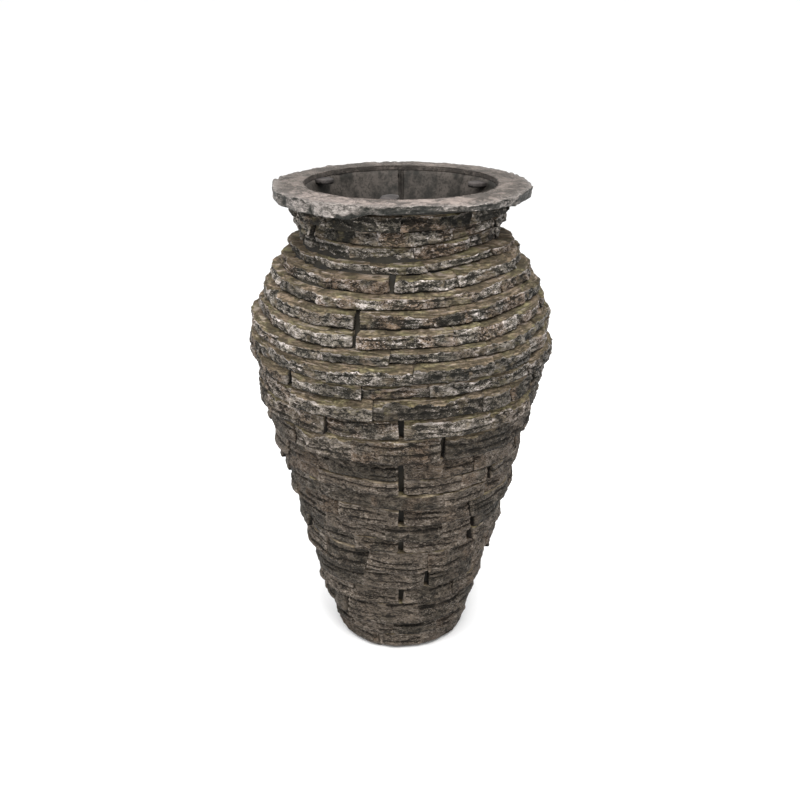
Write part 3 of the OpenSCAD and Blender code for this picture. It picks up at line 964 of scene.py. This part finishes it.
def slate_material(name):
    """Split slate: its colours by height, flecked and streaked, with painted highlights where it stands
    proud and black painted shade in its hollows.
    """
    material, tree, shader = new_material(name)
    place = object_place(tree)
    tone, tint, ledge, hollow = lay_marks(tree)

    # each stone's grain is shifted by its own tone and tint
    own = add(tree, "ShaderNodeCombineXYZ", {0: maths(tree, "MULTIPLY", tone, 3.0),
                                             1: maths(tree, "MULTIPLY", tint, 3.0)}).outputs[0]
    shift = add(tree, "ShaderNodeVectorMath", {0: place, 1: own}, operation="ADD").outputs[0]
    grain = use_group(tree, SLATE_GRAIN, {"Place": shift, "Fleck Scale": 270.0, "Streak Scale": 44.0,
                                          "Chip Scale": 100.0})
    tones = use_group(tree, SLATE_TONES, {"Place": place, "Tone": tone})
    high = tones["High"]

    # brown patches, a pale painted highlight where it stands proud and black painted shade where it is
    # sunk, both weaker low down
    cloud = noise(tree, shift, 30.0, 3.0, 0.6)
    level = maths(tree, "MULTIPLY_ADD", tone, 0.40, cloud)
    patch = maths(tree, "MULTIPLY", remap(tree, tint, 0.35, 0.8),
                  remap(tree, noise(tree, shift, 24.0, 2.0, 0.5), 0.42, 0.60))
    proud, sunk = proud_and_sunk(tree, hollow, grain, 0.60, 0.26, 0.75)
    struck = maths(tree, "MULTIPLY_ADD", tone, 0.25, noise(tree, shift, 19.0, 2.0, 0.5))
    share = maths(tree, "MULTIPLY", remap(tree, struck, 0.46, 0.76, 0.30, 1.0),
                  remap(tree, high, 0.0, 1.0, 0.70, 1.0))
    glint = maths(tree, "MULTIPLY", remap(tree, proud, 0.51, 0.74), share)
    depth = maths(tree, "MULTIPLY", remap(tree, sunk, 0.61, 0.80), remap(tree, high, 0.0, 1.0, 0.85, 0.90))

    # algae and dust on the ledges, also a painted highlight line along the top arris of the low stones, and
    # moss in patches on the high faces
    up = height_of(tree, add(tree, "ShaderNodeNewGeometry").outputs["Normal"])
    arris_light_and_growth = use_group(tree, LEDGE_GROWTH, {
        "Place": shift, "Ledge": ledge, "Up": up, "Streak": grain["Streak"],
        "Amount": remap(tree, high, 0.0, 1.0, 0.55, 0.80),
        "Olive": tones["Olive"], "Tan": tones["Tan"], "Shade": tones["Shade"],
        "Line": blend(tree, 0.25, tones["Tan"], tones["Pale"])})
    moss = remap(tree, noise(tree, shift, 33.0, 3.0, 0.6), 0.54, 0.66, 0.0, 0.75)
    moss = maths(tree, "MAXIMUM", arris_light_and_growth["Mask"], maths(tree, "MULTIPLY", moss, high))

    body = blend(tree, remap(tree, level, 0.50, 0.86), tones["Dark"], tones["Middle"])
    body = laid_over(tree, body, [(patch, tones["Brown"]), (glint, tones["Pale"]),
                                  (depth, tones["Black"]), (moss, arris_light_and_growth["Color"])])
    gloss = remap(tree, maths(tree, "MULTIPLY_ADD", grain["Fleck"], 0.5, cloud), 0.55, 0.95, 0.30, 0.62)
    gloss = mix_value(tree, high, 0.66, gloss)
    gloss = mix_value(tree, maths(tree, "MAXIMUM", arris_light_and_growth["Mask"], depth), gloss, 0.92)
    join_shader(tree, shader, body, gloss, grain["Relief"], 0.0036, 1.0, 0.24)
    return material


def rim_material():
    """Smooth worn top in pinkish tan, and a broken edge in slate greys, with painted highlights where the
    edge stands proud and painted shade in its hollows, under the slab and on the mouth's side.
    """
    material, tree, shader = new_material("rim_stone")
    place = object_place(tree)
    front, _, top, hollow = lay_marks(tree)
    grain = use_group(tree, SLATE_GRAIN, {"Place": place, "Fleck Scale": 330.0, "Streak Scale": 36.0,
                                          "Chip Scale": 80.0})
    cloud = noise(tree, place, 22.0, 4.0, 0.62)

    # the broken edge: a pale painted highlight where it stands proud, black painted shade where it is sunk
    proud, sunk = proud_and_sunk(tree, hollow, grain, 0.7, 0.22, 0.9)
    edge = blend(tree, remap(tree, cloud, 0.38, 0.62), (0.036, 0.034, 0.028), (0.092, 0.081, 0.070))
    edge = laid_over(tree, edge, [
        (remap(tree, proud, 0.52, 0.82, 0.0, 0.95), (0.385, 0.342, 0.314)),
        (remap(tree, sunk, 0.62, 0.92, 0.0, 0.95), (0.008, 0.009, 0.006))])

    # the top, darkest at the back: flecks, chip scars, stains, a pale bloom and its crack
    worn = blend(tree, remap(tree, cloud, 0.42, 0.60), (0.060, 0.049, 0.040), (0.128, 0.106, 0.090))
    swept = blend(tree, remap(tree, cloud, 0.40, 0.60), (0.150, 0.118, 0.100), (0.315, 0.258, 0.232))
    stain = noise(tree, place, 30.0, 4.0, 0.75, 0.8)
    bloom = remap(tree, noise(tree, place, 21.0, 4.0, 0.7, 0.5), 0.52, 0.62, 0.0, 0.65)
    bloom = maths(tree, "MULTIPLY", bloom, remap(tree, front, 0.0, 1.0, 0.55, 1.0))
    flat = blend(tree, maths(tree, "MULTIPLY", front, 0.85), worn, swept)
    flat = laid_over(tree, flat, [
        (remap(tree, grain["Fleck"], 0.44, 0.62, 0.0, 0.68), (0.050, 0.041, 0.033)),
        (maths(tree, "MULTIPLY", grain["Chip Root"], 0.80), (0.032, 0.026, 0.021)),
        (maths(tree, "MULTIPLY", grain["Chip Edge"], 0.45), (0.270, 0.225, 0.200)),
        (remap(tree, stain, 0.47, 0.54, 0.0, 0.80), (0.040, 0.033, 0.027)),
        (bloom, (0.255, 0.208, 0.182)),
        (remap(tree, hollow, 0.55, 0.95), (0.030, 0.024, 0.020))])

    height = maths(tree, "MULTIPLY", grain["Relief"], mix_value(tree, top, 1.0, 0.8))
    join_shader(tree, shader, blend(tree, top, edge, flat), mix_value(tree, top, 0.50, 0.75), height,
                0.0026, 0.9, 0.35)
    return material


def cast_material(name, dark, pale, painted_mouth_shade):
    """Cast or trowelled work: mottled, streaked from top to bottom, dull, and black in its seam, with
    painted shade darkening it down inside the mouth and painted shade under the lugs.
    """
    material, tree, shader = new_material(name)
    place = object_place(tree)
    _, _, _, hollow = lay_marks(tree)
    cloud = noise(tree, place, 26.0, 5.0, 0.68)
    run = noise(tree, stretched(tree, place, (1.0, 1.0, 0.22)), 60.0, 3.0, 0.55)
    pit = noise(tree, place, 230.0, 2.0, 0.6)
    mix = maths(tree, "MULTIPLY_ADD", run, 0.5, maths(tree, "MULTIPLY", cloud, 0.9))
    body = laid_over(tree, blend(tree, remap(tree, mix, 0.56, 0.84), dark, pale), [
        (remap(tree, pit, 0.46, 0.68, 0.0, 0.6), dark),
        # painted shade: darker from 0.80 m down to 0.70 m, where the liner goes down inside the mouth
        (remap(tree, height_of(tree, place), 0.80, 0.70, 0.0, painted_mouth_shade), dark),
        # black in the seam, and painted shade on the marked underside of a lug
        (remap(tree, hollow, 0.55, 0.95), (0.008, 0.007, 0.006))])
    gloss = remap(tree, cloud, 0.3, 0.7, 0.62, 0.85)
    height = maths(tree, "MULTIPLY_ADD", cloud, 0.6, maths(tree, "MULTIPLY", pit, 0.4))
    join_shader(tree, shader, body, gloss, height, 0.0024, 0.7, 0.2)
    return material


def dress(piece, material, slot, *nodes):
    """Gives a piece its material, and says what it rides on and what it replaces; slot is not used."""
    piece.data.materials.clear()
    piece.data.materials.append(material)
    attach(piece, "root")
    if nodes:
        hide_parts(*nodes)


SLATE = slate_material("slate")
RIM = rim_material()
LINING = cast_material("cast_lining", (0.011, 0.010, 0.008), (0.062, 0.053, 0.046), 0.6)
MORTAR = cast_material("bed_mortar", (0.010, 0.009, 0.007), (0.026, 0.022, 0.015), 0.0)
LUG = cast_material("lug_stone", (0.022, 0.019, 0.018), (0.060, 0.052, 0.049), 0.0)


# ---------------------------------------------------------------- the object

for number, node in enumerate(COURSES, 1):
    dress(lay_course(node, number), SLATE, "slate_lower" if node in LOWER_COURSES else "slate_upper", node)
dress(rim_slab(), RIM, "rim_stone", "rim_slab")
dress(mortar_core(), MORTAR, "cast_liner")
liner_wall = wall_profile("liner_left")
for node, start in (("liner_left", math.pi), ("liner_right", 0.0)):
    half = lathe(node + "_cast", liner_wall, 150, 81, 0.0006, start + SEAM_GAP, math.pi - 2 * SEAM_GAP)
    dress(half, LINING, "cast_liner", node)
for k, node in enumerate(("lug_left", "lug_right", "lug_front")):
    dress(tongue(node + "_stone", node, 120 + 10 * k), LUG, "lug_stone", node)
floor_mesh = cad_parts["floor_slab"].data
floor_mesh.materials.clear()
floor_mesh.materials.append(LINING)


# ---------------------------------------------------------------- floor, light and camera

FLOOR_WIDE = 400
AIM = Vector((0, 0, 0.45))         # where the lamps point
# the lamps: name, place, size and power
LAMPS = [("key", (0.4, -2.0, 2.7), 1.1, 60), ("fill", (-1.3, -1.7, 2.2), 1.1, 33),
         ("top", (0.0, 0.0, 3.2), 1.8, 55)]
EYE = (0, -1.664, 1.100)
LOOK_DOWN = 21.79        # degrees below level
LENS_MM = 46.6
SENSOR_MM = 36
SHIFT = -0.00125         # sideways, as a share of the sensor


def studio():
    """A pale floor, a pale surround, and large soft lamps."""
    bpy.ops.mesh.primitive_plane_add(size=FLOOR_WIDE, location=(0, 0, 0))
    floor = bpy.context.object
    floor.name = "studio_floor"
    material, tree, shader = new_material("studio_floor")
    shader.inputs["Base Color"].default_value = (0.93, 0.93, 0.93, 1)
    shader.inputs["Roughness"].default_value = 0.9
    floor.data.materials.append(material)
    world = bpy.data.worlds.new("studio")
    bpy.context.scene.world = world
    world.use_nodes = True
    sky = world.node_tree.nodes["Background"]
    sky.inputs["Color"].default_value = (1, 1, 1, 1)
    sky.inputs["Strength"].default_value = 1.08
    for name, place, size, power in LAMPS:
        data = bpy.data.lights.new(name, "AREA")
        data.shape = "SQUARE"
        data.size = size
        data.energy = power
        lamp = bpy.data.objects.new(name, data)
        lamp.location = place
        lamp.rotation_euler = (AIM - Vector(place)).to_track_quat("-Z", "Y").to_euler()
        bpy.context.scene.collection.objects.link(lamp)


def camera():
    """Eye level above the rim, looking down at the front."""
    data = bpy.data.cameras.new("camera")
    data.lens = LENS_MM
    data.sensor_width = SENSOR_MM
    data.shift_x = SHIFT
    eye = bpy.data.objects.new("camera", data)
    eye.location = EYE
    eye.rotation_euler = (math.radians(90 - LOOK_DOWN), 0, 0)
    bpy.context.scene.collection.objects.link(eye)
    bpy.context.scene.camera = eye


studio()
camera()
bpy.context.scene.view_settings.view_transform = "Standard"
bpy.context.scene.view_settings.exposure = 0.0
